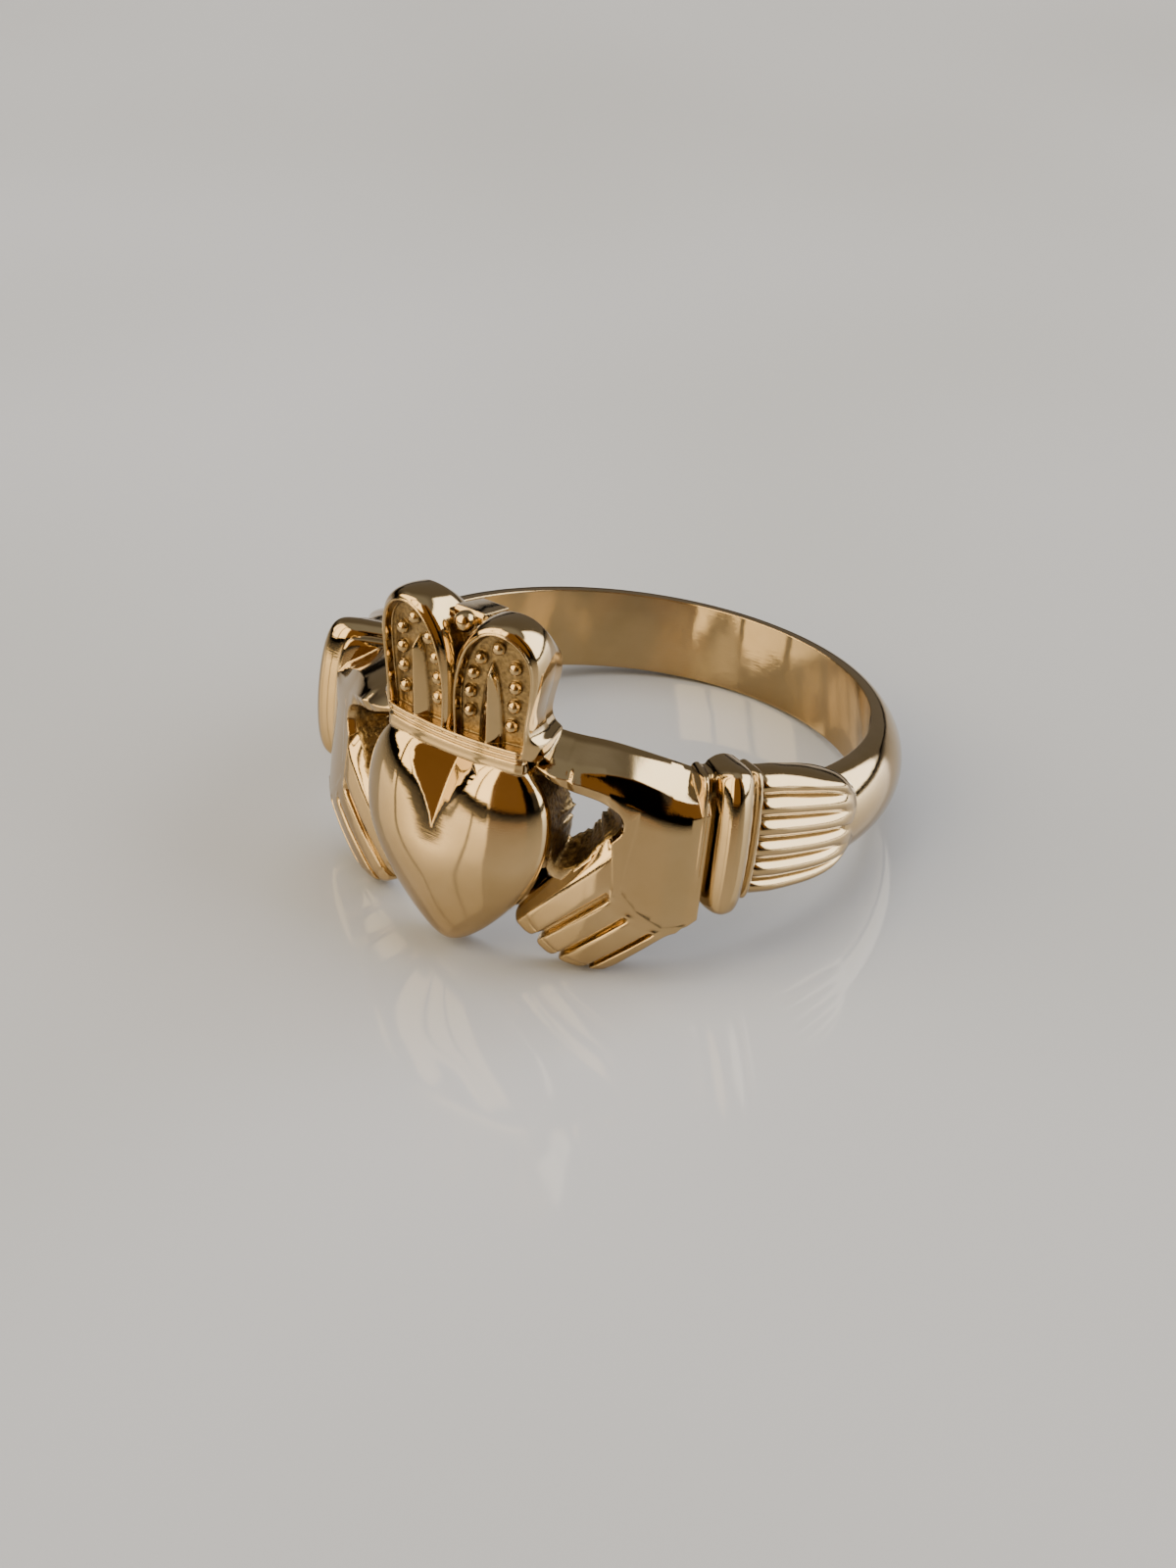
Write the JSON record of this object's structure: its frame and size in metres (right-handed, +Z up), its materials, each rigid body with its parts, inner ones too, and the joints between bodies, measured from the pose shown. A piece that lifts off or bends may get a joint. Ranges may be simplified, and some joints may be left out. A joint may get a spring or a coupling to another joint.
{
  "type": "finger ring",
  "caption": "Finger ring in polished yellow gold: a crowned heart held between cuffed hands, on a band that tapers to its back.",
  "frame": {"origin": "centre of the finger hole at the middle of the band's width, with the ring lying as it rests by itself", "axes": "+Z up; the finger hole leans back about 11.5 degrees from it towards +Y; -Y towards the heart and crown; +X towards the viewer's right of the heart"},
  "size_m": [0.0222, 0.0233, 0.0142],
  "materials": {
    "gold": "polished"
  },
  "bodies": {
    "root": {"claddagh_ring": "gold"}
  },
  "joints": []
}
